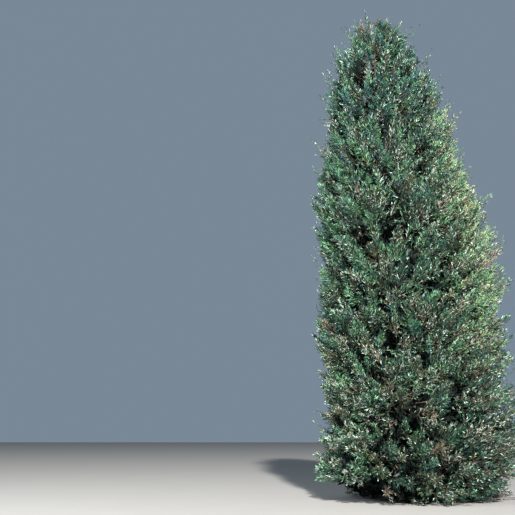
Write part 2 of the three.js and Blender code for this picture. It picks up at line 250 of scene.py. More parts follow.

# Tones of the sprays: weights in the open crown, inside it, where more dark tones paint shade, on the sunlit
# flank, where more light and yellow tones paint sunlight, low down and at the top, how much more of it there
# is in a green patch and on a plume's upper side, which paints the upper side lighter and the underside
# darker, and how its share varies from plume to plume
TONES = [
    ("deep", 0.38, 0.5, 0.31, 0.385, 0.45, 0, -0.7, 0.3),
    ("shade", 0.17, 0.3, 0.08, 0.17, 0.17, 0.2, -0.4, 0.3),
    ("mid", 0.18, 0.08, 0.1, 0.105, 0.09, 0.8, 0, 0.8),
    ("blue", 0.18, 0.02, 0.03, 0.09, 0.31, 0.3, 0, 0.9),
    ("fresh", 0.13, 0.0, 0.17, 0.038, 0.07, 1, 0.7, 0.7),
    ("pale", 0.08, 0.0, 0.055, 0.118, 0.068, -0.3, 0.7, 0.3),
    ("painted_sun_gold", 0.014, 0.0, 0.25, 0.012, 0.0, 0.2, 0.5, 0.8),
    ("olive", 0.035, 0.06, 0.13, 0.08, 0.006, -0.8, 0, 0.9),
    ("tan", 0.014, 0.02, 0.03, 0.035, 0.003, -1, 0.3, 0.8),
]
MIXED_SHARE = 0.8  # of the branchlets, which have a tone of their own
REACH_MARGIN = 0.1  # past the crown's reach, where a spray's depth counts as 1
INSIDE_DEPTHS = (0.5, 0.8)  # where the inside gives way to the open crown
# Where sunlight is painted on the broad flank: past these cosines of the azimuth and these depths, between
# the heights of its foot and head
FLANK = {"side": (0.5, 0.95), "depths": (0.6, 0.9), "foot": (2.5, 4.5), "head": (8, 10.5)}
LOW_HEIGHTS = (1.5, 6.5)
TOP_HEIGHTS = (7, 9.5)

# Patches in which greener tones come up more often, and lighter and darker patches of painted light and
# shade, both as waves like the lumps' own. Their depths are logarithms of the weights
PATCHES = [(13, 5.3, 0.2), (21, -7.1, 1.9), (8, 8.9, 4.0), (17, 2.6, 3.1)]
PATCH_DEPTH = 1.25
SHADES = [(9, -6.5, 0.7), (15, 4.7, 2.2), (19, 8.3, 5.1), (6, -3.9, 1.2)]
SHADE_DEPTH = 0.42
SHADE_HEIGHTS = (1.5, 4)  # the lighter and darker patches fade out below them
# Painted shade: near the ground the broad side is dealt darker tones than the narrow one
LOW_SHADE = 0.55  # how much darker the broad side is than the narrow one, near the ground
LOW_SHADE_HEIGHTS = (2, 4.5)
PLUME_HALF_WIDTH = 0.2  # as a share of its length

# Seeds of the random draws, one for each use
SEEDS = {
    "side": 21,
    "offshoot_side": 22,
    "shoot_side": 23,
    "leaders": 24,
    "templates": 31,
    "sprays": 41,
    "thin_sprays": 42,
    "tones": 44,
    "first_tier": 50,
    "filling": 61,
    "filling_tones": 62,
    "filling_variants": 63,
}

# Camera, set against the photograph: an eye 1.6 m up, 20.5 m in front of the tree and left of it
EYE = (-3.14, -20.5, 1.6)
TILT = 11.3
SENSOR_WIDTH = 36.0
LENS = 60.1
FARTHEST = 500

# Lights: where they stand, the point they face, and their colours
KEY_LIGHT = {"place": (3, -58, 36), "colour": (1, 0.985, 0.955)}
SIDE_LIGHT = {"place": (-17, -13, 11), "colour": (0.86, 0.93, 1), "size": 8}
AIM = (0.4, 0, 5.5)
FLOOR_DROP = 0.002  # below the foot of the tree, so that the two don't flicker


def closing(side, z):
    """Reach of one side at height z: reach * bays * (1 - t^power)^roundness, t being 0 to 1 up the crown."""
    t = np.clip(z / CLOSING_HEIGHT, 0, 1)
    bays = 1 + side["bay"] * np.cos(TURN * (z - side["crest"]) / side["spacing"])
    return side["reach"] * bays * (1 - t ** side["power"]) ** side["roundness"]


def reach(azimuth, z):
    """Reach of the crown from its axis: an oval through its four sides' reaches, drawn in at the skirt."""
    flank = np.where(np.cos(azimuth) > 0, closing(BROAD, z), closing(NARROW, z))
    depth = closing(DEEP, z)
    oval = 1 / np.hypot(np.cos(azimuth) / (flank + 0.001), np.sin(azimuth) / (depth + 0.001))
    draw = np.maximum(0, 1 - z / SKIRT_HEIGHT)
    return oval * (1 - SKIRT_DRAW * draw * draw)


def slanting_waves(waves, azimuth, z):
    """Mean of sin(n * azimuth + slant * z + start): waves that slant up round the crown."""
    return np.mean([np.sin(n * azimuth + slant * z + start) for n, slant, start in waves], axis=0)


def lumps(azimuth, z):
    """Swelling of the foliage in metres: the depth times the lumps' slanting waves. Towards the top the
    waves grow deeper, and a shift times cos(azimuth) is added."""
    depth = LUMP_DEPTH * (1 + TOP_LUMPS["deeper"] * smoothstep(z, *TOP_LUMPS["heights"]))
    shift = TOP_SHIFT["by"] * smoothstep(z, *TOP_SHIFT["heights"])
    return depth * slanting_waves(LUMPS, azimuth, z) + shift * np.cos(azimuth)


def smoothstep(value, low, high):
    """0 below low, 1 above high, and 3t^2 - 2t^3 between."""
    t = np.clip((value - low) / (high - low), 0, 1)
    return t * t * (3 - 2 * t)


def falling(value, low, high):
    """The smoothstep turned round: 1 below low and 0 above high."""
    return smoothstep(-value, -high, -low)


def between(low, high, share):
    """The value or place at a share of the way: low + (high - low) * share."""
    return low + (high - low) * share


def round_axis(points):
    """Azimuth, distance from the axis and height of points."""
    x, y, z = points[..., 0], points[..., 1], points[..., 2]
    return np.arctan2(y, x), np.hypot(x, y), z


def angle_between(a, b):
    """Turn from b to a, from -pi to pi."""
    return (a - b + math.pi) % TURN - math.pi


def underside(azimuth):
    """Height of the crown's underside: near the ground, and higher over the hollow."""
    off = np.degrees(np.abs(angle_between(azimuth, math.radians(HOLLOW["middle"]))))
    share = smoothstep(HOLLOW["half_width"] - off, -HOLLOW["edge"], HOLLOW["edge"])
    return GROUND_GAP + share * HOLLOW["height"]


def trunk_radius(z):
    """Radius of the trunk without its flare: it falls to the tip by (1 - z/top)^taper."""
    t = np.minimum(z / TRUNK_TOP, 1)
    return between(TRUNK_TIP_RADIUS, TRUNK_RADIUS, (1 - t) ** TRUNK_TAPER)


def seeded_draws(seed):
    """The mass's own generator: state = (state * factor + step) mod range, read as a share of the range."""
    state = (seed * SEED_FACTOR + SEED_STEP) % DRAW_RANGE

    def draw(low, high):
        nonlocal state
        state = (state * DRAW_FACTOR + DRAW_STEP) % DRAW_RANGE
        return low + (high - low) * state / DRAW_RANGE

    return draw


class Cell:
    """The space of one mass: a sector between its tier's cone and the next one."""

    def __init__(self, tier, index):
        """The sector's middle is the tier's turn and index sectors on, and half its width is pi / masses."""
        self.tier = tier
        self.index = index
        self.row = TIERS[tier]
        self.above = TIERS[tier + 1] if tier + 1 < len(TIERS) else None
        self.mid = math.radians(self.row["turn"]) + TURN * index / self.row["masses"]
        self.half = math.pi / self.row["masses"]

    def lower(self, azimuth, r):
        """Height of the cell's floor: base + slope * r, or the crown's underside in the lowest tier."""
        return underside(azimuth) if self.tier == 0 else self.row["base"] + self.row["slope"] * r

    def upper(self, r):
        """Height of the cell's ceiling: the next tier's floor."""
        return self.above["base"] + self.above["slope"] * r if self.above else HEIGHT + CELL_MARGIN

    def place(self, across, up, share):
        """Points across the sector (-1 to 1), up the tier (0 to 1) and out by share of the reach.

        The reach depends on the height and the height on the reach, so z settles over some passes.
        """
        azimuth = self.mid + across * self.half
        z = (self.row["base"] + HEIGHT * share) / 2
        for _ in range(SETTLING_PASSES):
            r = share * reach(azimuth, z)
            low = self.lower(azimuth, r)
            z = (z + low + up * (self.upper(r) - low)) / 2
        return np.stack([r * np.cos(azimuth), r * np.sin(azimuth), z], axis=-1)

    def holds(self, point, slack, margin):
        """True if the point clears the cell's walls by the margin, and is within the crown's reach."""
        azimuth = math.atan2(point[1], point[0])
        r = math.hypot(point[0], point[1])
        inside = min(self.half - abs(angle_between(azimuth, self.mid)), math.pi / 2)
        floor = self.lower(azimuth, r) + (margin if self.tier else 0)
        return (
            r * math.sin(inside) > margin
            and floor < point[2] < self.upper(r) - margin
            and r < reach(azimuth, point[2]) + slack
        )


def unit(vectors):
    """Vectors divided by their own lengths."""
    return vectors / np.linalg.norm(vectors, axis=-1, keepdims=True)


def stem_line(cell):
    """Foot and fork of a mass's stem: from its bough's tip, or the trunk's axis, into the mass."""
    fork = cell.place(0, 0.5, FORK_SHARE)
    if "bough_radius" in cell.row:
        return cell.place(0, 0.5, BOUGH_SHARE), fork
    base = cell.row["base"]
    return np.array([0, 0, base + BOUGH_SINK * (fork[2] - base)]), fork


def bough_line(cell):
    """Start, bend and tip of the curve of a bough, from the trunk's axis to the foot of its stem.

    The bend lies half its length behind the foot, in line with the stem.
    """
    foot, fork = stem_line(cell)
    start = np.array([0, 0, cell.row["base"] + BOUGH_SINK * (cell.above["base"] - cell.row["base"])])
    bend = foot - 0.5 * np.linalg.norm(foot - start) * unit(fork - foot)
    return start, bend, foot


def fitted_tip(cell, root, direction, length, slack, margin=CELL_MARGIN):
    """Tip of a plume or shoot at the largest size that stays in its cell, or None."""
    for size in SHRINK:
        tip = root + direction * length * size
        if cell.holds(tip, slack, margin):
            return tip
    return None


def face_area(cell):
    """Area of a mass's outer face: its arc times its height, both at the middle."""
    point = cell.place(0, 0.5, FACE_SHARE)
    r = math.hypot(point[0], point[1])
    return 2 * cell.half * r * (cell.upper(r) - cell.lower(cell.mid, r))


def grow_offshoots(cell, mains, draw):
    """Offshoots of a mass, at even steps over its face, each leaving the main twig nearest to it.

    mains holds the (start, bend) and the (across, up) of every main twig. Offshoot k stands at the
    fractions of k times the even steps, shifted a little. It points outwards, swings sideways and up by
    chance, and ends where its slack past the lumps of the crown allows.
    """
    jitter = OFFSHOOT_JITTER
    upturn = OFFSHOOT_UPTURN * cell.row["upturn"]
    places = np.array([place for _, place in mains])
    grown = []
    for k in range(int(OFFSHOOT_DENSITY * face_area(cell))):
        x = 2 * OFFSHOOT_SPAN * ((k * EVEN_STEPS[0] + 0.5) % 1) - OFFSHOOT_SPAN
        x += draw(-jitter["across"], jitter["across"])
        y = (k * EVEN_STEPS[1] + 0.5) % 1 + draw(-jitter["up"], jitter["up"])
        end = OFFSHOOT_END if cell.above else OFFSHOOT_END + TOP_END_CHANGE * y
        s = end + draw(*jitter["end"])
        root = cell.place(x, y, s)
        ahead = unit(cell.place(x, y, s + STEP_OUT) - root)
        azimuth = math.atan2(root[1], root[0])
        local = float(reach(azimuth, root[2]))
        sideways = np.cross(UP, ahead) * draw(-OFFSHOOT_SWING, OFFSHOOT_SWING)
        direction = unit(ahead + sideways + UP * (upturn + draw(-jitter["upturn"], jitter["upturn"])))
        length = (PLUME["share"] * local + PLUME["extra"]) * draw(*OFFSHOOT_LENGTH)
        slack = lumps(azimuth, root[2]) + draw(*OFFSHOOT_SLACK)
        tip = fitted_tip(cell, root, direction, length, slack, -CROSSING)
        leave = draw(*OFFSHOOT_LEAVE)
        if tip is not None:
            near = np.argmin(np.hypot((places[:, 0] - x) * NEAR_ACROSS, places[:, 1] - y))
            start, bend = mains[near][0]
            grown.append((between(start, bend, leave), root, tip))
    return grown


def grow_mass(cell):
    """The growth rule of one mass: its main twigs with their plumes, their offshoots, and its shoots,
    each as (start, bend, tip).

    Twig i of a row stands in the middle of its own equal stretch of the sector, shifted by chance. Its
    plume's length is a share of the reach there and some more, and so is its shoot's. The draws keep the
    order of the plain solids' rule, so its two draws of a full turn, for their teeth, are made here too.
    """
    draw = seeded_draws(10 * cell.tier + cell.index + 1)
    draw_offshoot = seeded_draws(10 * cell.tier + cell.index + 1 + OFFSHOOT_SEED)
    foot, fork = stem_line(cell)
    upturn = cell.row["upturn"]
    plumes, shoots, mains = [], [], []
    for row in TOP_ROWS if cell.tier == len(TIERS) - 1 else ROWS:
        for i in range(row["count"]):
            jitter = draw(-JITTER["across"], JITTER["across"])
            across = ((2 * i + 1) / row["count"] - 1) * SPREAD + jitter
            up = row["up"] + draw(-JITTER["up"], JITTER["up"])
            share = row["end"] + draw(-JITTER["end"], JITTER["end"])
            start = between(foot, fork, row["leave"])
            root = cell.place(across, up, share)
            ahead = unit(cell.place(across, up, share + STEP_OUT) - root)
            local = float(reach(math.atan2(root[1], root[0]), root[2]))
            direction = unit(ahead + UP * (upturn + draw(-JITTER["upturn"], JITTER["upturn"])))
            length = PLUME["share"] * local + PLUME["extra"]
            draw(0, TURN)
            shoot_direction = unit(ahead + UP * (2 * upturn + draw(*SHOOT_RISE)))
            draw(0, TURN)
            shoot_length = SHOOT["share"] * local + SHOOT["extra"]
            shoot_root = root + ahead * SHOOT_ROOT * length
            tip = fitted_tip(cell, root, direction, length, 0)
            if tip is not None:
                plumes.append((start, root, tip))
            mains.append(((start, root), (across, up)))
            if draw(0, 1) < row["shoots"] and cell.tier >= SHOOT_FIRST_TIER:
                tip = fitted_tip(cell, shoot_root, shoot_direction, shoot_length, SHOOT_SLACK)
                if tip is not None:
                    shoots.append((shoot_root, (shoot_root + tip) / 2, tip))
    return plumes, grow_offshoots(cell, mains, draw_offshoot), shoots


def all_cells():
    """Every mass's cell, tier by tier."""
    return [Cell(tier, i) for tier, row in enumerate(TIERS) for i in range(row["masses"])]


def branches(rows, tiers):
    """Rows of (start, bend, tip) as arrays, with the tier and the length of each branch's last half."""
    points = np.array(rows)
    size = np.linalg.norm(points[:, 2] - points[:, 1], axis=1)
    return SimpleNamespace(
        start=points[:, 0], bend=points[:, 1], tip=points[:, 2], size=size, tier=np.array(tiers)
    )


def grow_crown():
    """Main twigs, offshoots and shoots of the whole crown."""
    kinds = [([], []), ([], []), ([], [])]
    for cell in all_cells():
        for (rows, tiers), grown in zip(kinds, grow_mass(cell)):
            rows += grown
            tiers += [cell.tier] * len(grown)
    return [branches(rows, tiers) for rows, tiers in kinds]


def set_down(twigs):
    """The same twigs with the crown's top lowered: z falls by the drop times smoothstep(z)."""
    for points in (twigs.start, twigs.bend, twigs.tip):
        points[:, 2] -= TOP_DROP["by"] * smoothstep(points[:, 2], *TOP_DROP["heights"])
    return twigs


def grow_leaders(twigs, seed):
    """Leaders from the tips of some twigs, chosen at random by their tier's share.

    A leader runs on along its twig's last direction plus some of up and a little chance.
    """
    draws = np.random.default_rng(seed)
    chosen = draws.uniform(0, 1, len(twigs.tip)) < np.array(LEADER_SHARE)[twigs.tier]
    base = pick(twigs, chosen)
    along = unit(base.tip - base.bend)
    direction = unit(along + UP * LEADER["rise"] + draws.normal(0, LEADER["swing"], along.shape))
    length = draws.uniform(*LEADER["length"], len(along))
    start = base.tip - along * LEADER["overlap"]
    tip = base.tip + direction * length[:, None]
    return SimpleNamespace(start=start, bend=base.tip, tip=tip, size=length, tier=base.tier)


def bezier(branch, t):
    """Points at shares t of each branch: (1-t)^2 start + 2t(1-t) bend + t^2 tip."""
    t = t[..., None]
    start, bend, tip = (p[:, None] for p in (branch.start, branch.bend, branch.tip))
    return (1 - t) ** 2 * start + 2 * t * (1 - t) * bend + t * t * tip


def bezier_direction(branch, t):
    """Unit tangents at shares t: along (1-t)(bend - start) + t(tip - bend)."""
    t = t[..., None]
    start, bend, tip = (p[:, None] for p in (branch.start, branch.bend, branch.tip))
    return unit((1 - t) * (bend - start) + t * (tip - bend) + TINY)


def helper_axis(direction):
    """An axis well off each direction: X where it is steep, or else Z."""
    return np.where(np.abs(direction[..., 2:]) > STEEP, [1.0, 0.0, 0.0], UP)


def square_pair(direction):
    """Two unit vectors A and B square to each direction, so that A x B points along it."""
    a = unit(np.cross(helper_axis(direction), direction))
    return a, np.cross(direction, a)


def leaning_off(direction, turn, angle):
    """Directions at an angle to the given ones D: D cos(angle) + (A cos(turn) + B sin(turn)) sin(angle)."""
    a, b = square_pair(direction)
    outward = a * np.cos(turn)[..., None] + b * np.sin(turn)[..., None]
    return direction * np.cos(angle)[..., None] + outward * np.sin(angle)[..., None]


def grow_side_twigs(parents, count, width, rule, seed):
    """Side twigs in a spiral round each parent.

    Twig k leaves at a share t of its parent, turned by k golden angles. Its angle to the parent closes
    towards the tip. Its length is width * the parent's size * taper, where u runs 0 to 1 along the
    stretch that bears twigs and taper = (0.6 + 0.4 sin(pi * min(1.6 u, 0.5))) * (1 - u)^0.55 + 0.1, so
    the plume is widest low down and ends in a point. Halfway along it bends onwards and up.
    """
    draws = np.random.default_rng(seed)
    shape = (len(parents.start), count)
    u = (np.arange(count) + draws.uniform(0, 1, shape)) / count
    t = between(rule["first"], rule["last"], u)
    root = bezier(parents, t)
    along = bezier_direction(parents, t)
    turn = np.arange(count) * GOLDEN + draws.uniform(0, TURN, (shape[0], 1)) + draws.normal(0, 0.25, shape)
    angle = np.radians(between(rule["open"], rule["close"], u))
    direction = leaning_off(along, turn, angle)
    taper = (0.6 + 0.4 * np.sin(np.pi * np.minimum(u * 1.6, 0.5))) * (1 - u) ** 0.55 + 0.1
    length = width * parents.size[:, None] * taper * draws.uniform(*CHANCE, shape)
    bend = root + direction * (0.5 * length)[..., None]
    onward = unit(direction + rule["forward"] * along + rule["lift"] * UP)
    tip = bend + onward * (0.5 * length)[..., None]
    return SimpleNamespace(
        start=root.reshape(-1, 3),
        bend=bend.reshape(-1, 3),
        tip=tip.reshape(-1, 3),
        tier=np.repeat(parents.tier, count),
        parent=np.repeat(np.arange(shape[0]), count),
    )


def grow_sprays(twigs, count, length, seed):
    """Sprays in a spiral round each twig.

    Spray k sits at share t = (k + 0.7 + chance) / (count - 0.05), at most 1. It opens by an angle that
    closes towards the tip, and its length is length * (1.15 - 0.35 t), give or take chance.
    """
    draws = np.random.default_rng(seed)
    shape = (len(twigs.start), count)
    t = (np.arange(count) + 0.7 + draws.uniform(-0.25, 0.25, shape)) / (count - 0.05)
    t = np.minimum(t, 1)
    along = bezier_direction(twigs, t)
    turn = np.arange(count) * GOLDEN + draws.uniform(0, TURN, (shape[0], 1)) + draws.normal(0, 0.3, shape)
    angle = np.radians(between(SPRAY_ANGLES["open"], SPRAY_ANGLES["close"], t))
    direction = leaning_off(along, turn, angle)
    return SimpleNamespace(
        root=bezier(twigs, t).reshape(-1, 3),
        direction=direction.reshape(-1, 3),
        roll=draws.uniform(0, TURN, shape).ravel(),
        length=(length * (1.15 - 0.35 * t) * draws.uniform(*CHANCE, shape)).ravel(),
        tier=np.repeat(twigs.tier, count),
        parent=np.repeat(twigs.parent, count),
    )


def pick(group, chosen):
    """The same group of arrays with only the chosen rows."""
    return SimpleNamespace(**{name: values[chosen] for name, values in vars(group).items()})


def joined(groups):
    """Several groups of arrays end to end."""
    names = vars(groups[0])
    return SimpleNamespace(**{name: np.concatenate([vars(g)[name] for g in groups]) for name in names})


def in_crown(point, share):
    """True where points lie above the crown's underside and within this share of its reach and its lumps."""
    azimuth, r, z = round_axis(point)
    return (r < share * reach(azimuth, z) + lumps(azimuth, z)) & (z > underside(azimuth))


def spray_templates(branchlets, width):
    """Unit sprays along +Z, as (variants, kites, 4, 3).

    Kite 0 is the axis. The others leave it in a spiral, at even steps from 0.06 to 0.8 of its height h,
    and are 0.66 - 0.36 h long. Angle, width, length and place vary by chance.
    A kite's corners are its root, a side, its tip and the other side, its sides raised by the fold.
    """
    draws = np.random.default_rng(SEEDS["templates"])
    shape = (SPRAY_VARIANTS, branchlets + 1)
    k = np.arange(branchlets + 1) - 1
    height = 0.06 + 0.74 * (k + draws.uniform(0, 0.8, shape)) / branchlets
    turn = k * GOLDEN + draws.normal(0, 0.4, shape)
    angle = np.radians(draws.uniform(*KITE_ANGLES, shape))
    length = (0.66 - 0.36 * height) * draws.uniform(0.8, 1.2, shape)
    height[:, 0], angle[:, 0], length[:, 0] = 0, 0.02, 1
    root = height[..., None] * UP
    direction = np.stack(
        [np.cos(turn) * np.sin(angle), np.sin(turn) * np.sin(angle), np.cos(angle)], axis=-1
    )
    a, b = square_pair(direction)
    lay = draws.uniform(0, TURN, shape)[..., None]
    side = a * np.cos(lay) + b * np.sin(lay)
    rise = np.cross(direction, side)
    wide = width * draws.uniform(0.8, 1.25, shape)[..., None]
    waist = root + direction * (KITE_WAIST * length)[..., None] + rise * wide * KITE_FOLD
    tip = root + direction * length[..., None]
    return np.stack([root, waist + side * wide / 2, tip, waist - side * wide / 2], axis=2)


def spray_corners(sprays, templates, seed):
    """Corners of every kite of every spray: root + length * (template turned to the spray's frame)."""
    draws = np.random.default_rng(seed)
    variant = draws.integers(0, len(templates), len(sprays.root))
    a, b = square_pair(sprays.direction)
    cos, sin = np.cos(sprays.roll)[:, None], np.sin(sprays.roll)[:, None]
    turned = np.stack([a * cos + b * sin, b * cos - a * sin, sprays.direction], axis=1)
    turned = (turned * sprays.length[:, None, None]).astype(np.float32)
    flat = templates.reshape(len(templates), -1, 3).astype(np.float32)[variant]
    return sprays.root[:, None].astype(np.float32) + flat @ turned


def leaned(points):
    """The shear that gives the tree its lean: x grows by LEAN * z."""
    return points + points[..., 2:] * np.array([LEAN, 0, 0], dtype=points.dtype)


def add_mesh(name, points, triangles, materials, tone=None, limb=None, smooth=False):
    """A mesh object from arrays, with its place in its vertices."""
    if len(triangles) > MOST_TRIANGLES:
        raise ValueError(f"{name} has {len(triangles)} triangles, over {MOST_TRIANGLES}")
    mesh = bpy.data.meshes.new(name)
    mesh.vertices.add(len(points))
    mesh.vertices.foreach_set("co", leaned(points).astype(np.float32).ravel())
    mesh.loops.add(triangles.size)
    mesh.loops.foreach_set("vertex_index", triangles.astype(np.int32).ravel())
    mesh.polygons.add(len(triangles))
    mesh.polygons.foreach_set("loop_start", np.arange(0, triangles.size, 3, dtype=np.int32))
    if tone is not None:
        mesh.polygons.foreach_set("material_index", tone.astype(np.int32))
    mesh.polygons.foreach_set("use_smooth", np.full(len(triangles), smooth))
    if limb is not None:
        layer = mesh.attributes.new("limb", "FLOAT_VECTOR", "POINT")
        layer.data.foreach_set("vector", limb.astype(np.float32).ravel())
    mesh.update(calc_edges=True)
    for material in materials:
        mesh.materials.append(material)
    piece = bpy.data.objects.new(name, mesh)
    bpy.context.scene.collection.objects.link(piece)
    return piece


def add_piece(name, nodes, slot, *parts, **extra):
    """A mesh that rides on the tree and stands for these solids."""
    piece = add_mesh(name, *parts, **extra)
    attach(piece, "root")
    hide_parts(*nodes)
    return piece


def mass_nodes(tiers):
    """Names of the foliage solids in these tiers."""
    return [f"foliage_{t + 1}_{i + 1}" for t in tiers for i in range(TIERS[t]["masses"])]


def bough_nodes():
    """Names of the bough solids."""
    return [f"bough_{c.tier + 1}_{c.index + 1}" for c in all_cells() if "bough_radius" in c.row]


def tubes(paths, radii, sides, relief=None):
    """Closed tubes along many paths at once: (points, triangles, limb coordinates).

    The ring at path point p with tangent T is p + radius * (A cos a + B sin a), A and B square to T and
    A square to a helper axis that a path keeps, so that its rings don't turn over. relief, where given,
    adds to the radius. Limb coordinates are (r cos a, r sin a, distance along).
    """
    count, steps, _ = paths.shape
    tangent = unit(np.gradient(paths, axis=1) + TINY)
    mean = unit(paths[:, -1:] - paths[:, :1] + TINY)
    a = unit(np.cross(helper_axis(mean), tangent))[:, :, None]
    b = np.cross(tangent[:, :, None], a)
    turn = np.arange(sides) * TURN / sides
    step = np.linalg.norm(np.diff(paths, axis=1, prepend=paths[:, :1]), axis=2)
    along = np.cumsum(step, axis=1)[..., None] + np.zeros(sides)
    radius = radii[..., None] + np.zeros(sides)
    if relief is not None:
        radius = radius + relief(turn, along, radius)
    cos, sin = np.cos(turn)[:, None], np.sin(turn)[:, None]
    points = paths[:, :, None] + radius[..., None] * (a * cos + b * sin)
    limb = np.stack([radii[..., None] * np.cos(turn), radii[..., None] * np.sin(turn), along], axis=-1)
    ring = np.arange(sides)
    after = (ring + 1) % sides
    first = (np.arange(steps - 1) * sides)[:, None]
    low = np.stack([first + ring, first + after, first + sides + after], axis=-1)
    high = np.stack([first + ring, first + sides + after, first + sides + ring], axis=-1)
    fan = np.arange(1, sides - 1)
    top = (steps - 1) * sides
    foot_cap = np.stack([0 * fan, fan + 1, fan], axis=-1)
    tip_cap = np.stack([top + 0 * fan, top + fan, top + fan + 1], axis=-1)
    one = np.concatenate([low.reshape(-1, 3), high.reshape(-1, 3), foot_cap, tip_cap])
    triangles = one + (np.arange(count) * steps * sides)[:, None, None]
    return points.reshape(-1, 3), triangles.reshape(-1, 3), limb.reshape(-1, 3)


def branch_tubes(branch, steps, sides, root_radius, tip_radius):
    """Tubes along quadratic branches, thinning evenly from root to tip: (points, triangles)."""
    t = np.tile(np.linspace(0, 1, steps), (len(branch.start), 1))
    radii = between(root_radius, tip_radius, t)
    return tubes(bezier(branch, t), radii, sides)[:2]


def stacked(parts):
    """Several (points, triangles) joined into one, each part's triangles moved on past the points before."""
    offsets = np.cumsum([0] + [len(points) for points, _ in parts[:-1]])
    triangles = [part[1] + offset for part, offset in zip(parts, offsets)]
    return np.concatenate([points for points, _ in parts]), np.concatenate(triangles)


def strip_relief(depth, strips):
    """Relief of shredding bark: waves round the limb that drift along it, sharpened into long strips."""

    def relief(turn, along, radius):
        """Depth * (0.6 of the strips' square-rooted wave + 0.25 of a finer wave + 0.25 of their ends)."""
        drift = 0.5 * np.sin(1.7 * along) + 0.3 * np.sin(4.1 * along + 1)
        coarse = np.cos(strips * turn + 3 * drift)
        fine = np.cos((2 * strips + 3) * turn - 4 * drift + 2 * np.sin(2.3 * along))
        ends = np.sin(9 * along + 5 * np.cos(3 * turn)) * np.cos(strips * turn)
        ridges = np.sign(coarse) * np.abs(coarse) ** 0.5
        return depth * (0.6 * ridges + 0.25 * fine + 0.25 * ends)

    return relief


class Value:
    """A socket of a shader. Arithmetic on it adds the Math nodes that work it out."""

    def __init__(self, shader, socket):
        """A socket and the shader it belongs to."""
        self.shader = shader
        self.socket = socket

    def maths(self, operation, first, second):
        """The outcome of one Math node."""
        return self.shader.node("ShaderNodeMath", {"operation": operation}, {0: first, 1: second})

    def __add__(self, other):
        return self.maths("ADD", self, other)

    def __sub__(self, other):
        return self.maths("SUBTRACT", self, other)

    def __rsub__(self, other):
        return self.maths("SUBTRACT", other, self)

    def __mul__(self, other):
        return self.maths("MULTIPLY", self, other)

    __radd__ = __add__
    __rmul__ = __mul__


def socket_name(word):
    """The shader's own name of a socket: base_color gives Base Color."""
    return word.replace("_", " ").title().replace("Ior", "IOR")


class Shader:
    """A material made of one Principled shader and the nodes that feed it."""

    def __init__(self, name, **numbers):
        """A new material, with uniform numbers set on the surface's own sockets."""
        self.material = bpy.data.materials.new(name)
        self.material.use_nodes = True
        self.tree = self.material.node_tree
        self.surface = self.tree.nodes["Principled BSDF"]
        for socket, value in numbers.items():
            self.surface.inputs[socket_name(socket)].default_value = value

    def node(self, kind, settings=None, inputs=None, output=0):
        """One node: its settings first, then a value or a link for each named socket."""
        node = self.tree.nodes.new(kind)
        for name, value in (settings or {}).items():
            if name == "stops":
                self.set_stops(node.color_ramp, value)
            else:
                setattr(node, name, value)
        for name, value in (inputs or {}).items():
            self.feed(node.inputs[name], value)
        return Value(self, node.outputs[output])

    def set_stops(self, ramp, stops):
        """Positions and colours of a ramp's stops."""
        while len(ramp.elements) < len(stops):
            ramp.elements.new(1)
        for element, (position, colour) in zip(ramp.elements, stops):
            element.position = position
            element.color = (*colour, 1)

    def feed(self, socket, value):
        """A link where the value is a socket's, or else the value itself."""
        if isinstance(value, Value):
            self.tree.links.new(value.socket, socket)
        else:
            socket.default_value = value

    def surface_gets(self, **values):
        """The finished material, once these sockets of its surface are fed."""
        for name, value in values.items():
            self.feed(self.surface.inputs[socket_name(name)], value)
        return self.material

    def noise(self, vector, scale, detail=3.0, roughness=0.55):
        """Noise from 0 to 1 with this many cells a metre."""
        inputs = {"Vector": vector, "Scale": scale, "Detail": detail, "Roughness": roughness}
        return self.node("ShaderNodeTexNoise", None, inputs)

    def stretched(self, vector, scale):
        """The vector times the scale, axis by axis."""
        return self.node("ShaderNodeMapping", None, {"Vector": vector, "Scale": scale})

    def bump(self, height, strength, distance):
        """A normal tilted by the slope of the height, which spans the distance in metres."""
        inputs = {"Height": height, "Strength": strength, "Distance": distance}
        return self.node("ShaderNodeBump", None, inputs)

    def blend(self, factor, first, second):
        """Colour first * (1 - factor) + second * factor."""
        settings = {"data_type": "RGBA"}
        return self.node("ShaderNodeMix", settings, {0: factor, 6: first, 7: second}, output=2)


def bark_material(finish):
    """Shredding bark: long fibres that follow the limb, red-brown in the cracks and grey on the strips."""
    shader = Shader("cedar_bark")
    limb = shader.node("ShaderNodeAttribute", {"attribute_name": "limb"}, output="Vector")
    fibre = shader.noise(shader.stretched(limb, (70, 70, 3.5)), 1.0, 6.0, 0.62)
    strip = shader.noise(shader.stretched(limb, (26, 26, 1.1)), 1.0, 3.0)
    weather = shader.noise(limb, 1.6, 2.0)
    stops = [(0.3, finish.bark_crack), (0.5, finish.bark_fresh), (0.68, finish.bark_grey)]
    colour = shader.node("ShaderNodeValToRGB", {"stops": stops}, {"Fac": fibre * 0.65 + strip * 0.35})
    grey = shader.blend(weather * 0.5, colour, (*finish.bark_grey, 1))
    relief = fibre * 0.6 + strip * 0.4
    return shader.surface_gets(
        base_color=grey, roughness=0.98 - fibre * 0.2, normal=shader.bump(relief, 0.7, 0.012)
    )


def twig_material(finish):
    """Young bark: red-brown with paler scales, darker where the patches of noise fall."""
    shader = Shader("cedar_twig_bark")
    place = shader.node("ShaderNodeTexCoord", None, None, output="Object")
    patch = shader.noise(place, 6.0)
    scale = shader.noise(place, 90.0)
    stops = [(0.3, finish.twig_dark), (0.7, finish.twig_light)]
    colour = shader.node("ShaderNodeValToRGB", {"stops": stops}, {"Fac": patch * 0.6 + scale * 0.4})
    return shader.surface_gets(
        base_color=colour, roughness=0.95 - scale * 0.25, normal=shader.bump(scale, 0.4, 0.003)
    )


def spray_material(name, colour, roughness=0.4, gloss=0.22):
    """Scale leaves of one tone: a plain colour, waxy in patches."""
    shader = Shader(name, base_color=(*colour, 1), specular_ior_level=gloss)
    place = shader.node("ShaderNodeTexCoord", None, None, output="Object")
    wax = shader.noise(place, 14.0, 2.0)
    return shader.surface_gets(roughness=wax * 0.3 + roughness)


